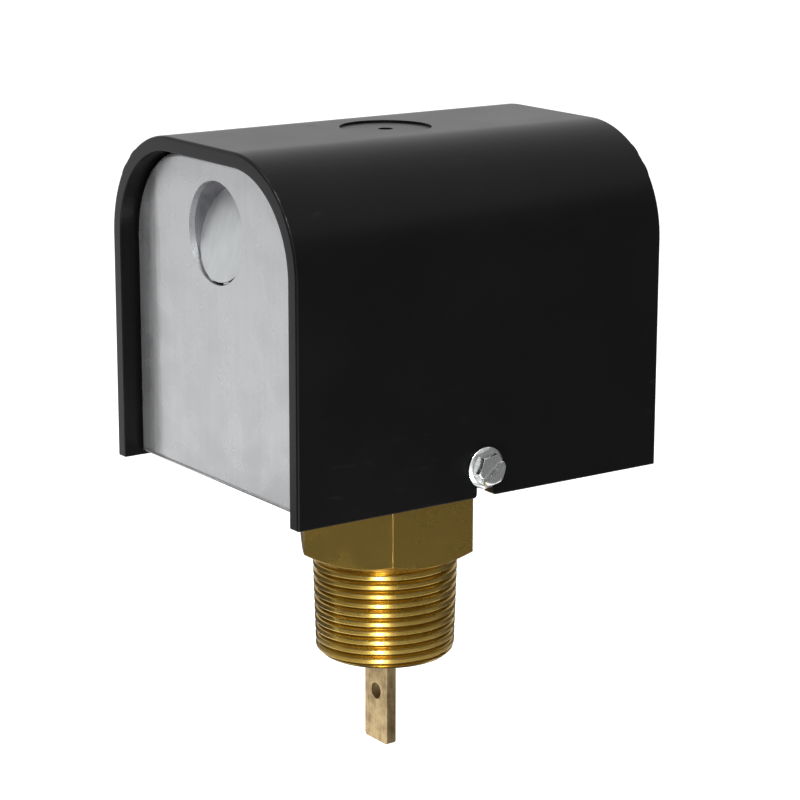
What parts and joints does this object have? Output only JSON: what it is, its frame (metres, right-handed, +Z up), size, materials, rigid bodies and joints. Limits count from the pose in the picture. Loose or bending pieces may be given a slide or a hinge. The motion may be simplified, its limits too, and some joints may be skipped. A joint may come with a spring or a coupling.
{
  "type": "paddle flow switch",
  "caption": "Pipe-mounted paddle flow switch: arched black cover over a steel chassis, brass hexagon body with tapered thread, and a flat lever bar with a paddle hole.",
  "frame": {"origin": "on the pipe thread's axis at the underside of the brass hexagon, where the thread starts", "axes": "+Z up the thread axis into the housing, +Y the way the liquid flows past the paddle, X along the pivot pin"},
  "size_m": [0.0822, 0.0962, 0.1437],
  "materials": {
    "cover_plastic": "satin moulded black plastic",
    "zinc_sheet": "zinc-plated sheet steel, semi-gloss",
    "body_brass": "machined brass, slightly dulled",
    "bar_bronze": "rolled tan bronze strip",
    "bellows_bronze": "thin phosphor bronze",
    "seal_rubber": "moulded black rubber",
    "pin_steel": "drawn and ground steel",
    "spring_steel": "drawn spring wire",
    "screw_zinc": "bright zinc plating",
    "contact_brass": "tinned and plain brass fittings",
    "switch_phenolic": "dark brown phenolic moulding",
    "plunger_red": "red moulded plastic",
    "earth_green": "green passivated zinc"
  },
  "bodies": {
    "housing": {"bellows": "bellows_bronze", "bellows_flange": "body_brass", "body_screw_left_front": "screw_zinc", "body_screw_left_rear": "screw_zinc", "body_screw_right_front": "screw_zinc", "body_screw_right_rear": "screw_zinc", "brass_body": "body_brass", "chassis": "zinc_sheet", "cover_screw_left": "screw_zinc", "cover_screw_right": "screw_zinc", "earth_screw": "earth_green", "fulcrum_bracket": "zinc_sheet", "knockout_slug": "zinc_sheet", "leaf_pin": "pin_steel", "pin_clip_left": "pin_steel", "pin_clip_right": "pin_steel", "pivot_pin": "pin_steel", "range_spring": "spring_steel", "seal_ring": "seal_rubber", "spring_bracket": "zinc_sheet", "spring_foot_screw_left": "screw_zinc", "spring_foot_screw_right": "screw_zinc", "switch_bracket": "zinc_sheet", "switch_case": "switch_phenolic", "switch_foot_screw_far": "screw_zinc", "switch_foot_screw_near": "screw_zinc", "switch_nut_lower": "screw_zinc", "switch_nut_upper": "screw_zinc", "switch_screw_lower": "screw_zinc", "switch_screw_upper": "screw_zinc", "terminal_common": "contact_brass", "terminal_normally_closed": "contact_brass", "terminal_normally_open": "contact_brass", "terminal_screw_common": "contact_brass", "terminal_screw_normally_closed": "contact_brass", "terminal_screw_normally_open": "contact_brass"},
    "lever": {"lever_rod": "body_brass", "lever_hub": "body_brass", "paddle_bar": "bar_bronze", "bar_rivet_upper": "body_brass", "bar_rivet_lower": "body_brass", "lever_head": "body_brass", "push_tip": "switch_phenolic", "head_clamp_screw": "screw_zinc", "bellows_cap": "body_brass"},
    "leaf": {"switch_leaf": "pin_steel"},
    "plunger": {"switch_plunger": "plunger_red"},
    "range_adjuster": {"range_screw": "contact_brass", "range_screw_retainer": "pin_steel"},
    "seat": {"spring_seat": "contact_brass"},
    "cover_shell": {"cover": "cover_plastic"}
  },
  "joints": [
    {"name": "paddle_swing", "type": "hinge", "parent": "housing", "child": "lever", "pos_m": [0, 0, 0.03165], "axis": [1, 0, 0], "range_deg": [0, 6], "stiffness_Nm_per_rad": 0.5, "springref_deg": -8.59, "deforming": ["bellows", "range_spring"]},
    {"name": "leaf_swing", "type": "hinge", "parent": "housing", "child": "leaf", "pos_m": [0, 0.00859, 0.03715], "axis": [1, 0, 0], "range_deg": [0, 8]},
    {"name": "plunger_travel", "type": "slide", "parent": "housing", "child": "plunger", "axis": [0, -1, 0], "range_m": [0, 0.0011]},
    {"name": "seat_travel", "type": "slide", "parent": "housing", "child": "seat", "axis": [0, 1, 0], "range_m": [0, 0.0024], "deforming": ["range_spring"]},
    {"name": "range_screw_turn", "type": "hinge", "parent": "housing", "child": "range_adjuster", "pos_m": [0, -0.032, 0.05465], "axis": [0, 1, 0], "range_deg": [-1080, 0]},
    {"name": "cover_lift", "type": "slide", "parent": "housing", "child": "cover_shell", "axis": [0, 0, 1], "range_m": [0, 0.09]}
  ],
  "couplings": [
    {"joint": "leaf_swing", "follows": "paddle_swing", "ratio": 1.27},
    {"joint": "plunger_travel", "follows": "paddle_swing", "m_per_rad": 0.0095},
    {"joint": "range_screw_turn", "follows": "seat_travel", "rad_per_m": -7854}
  ]
}
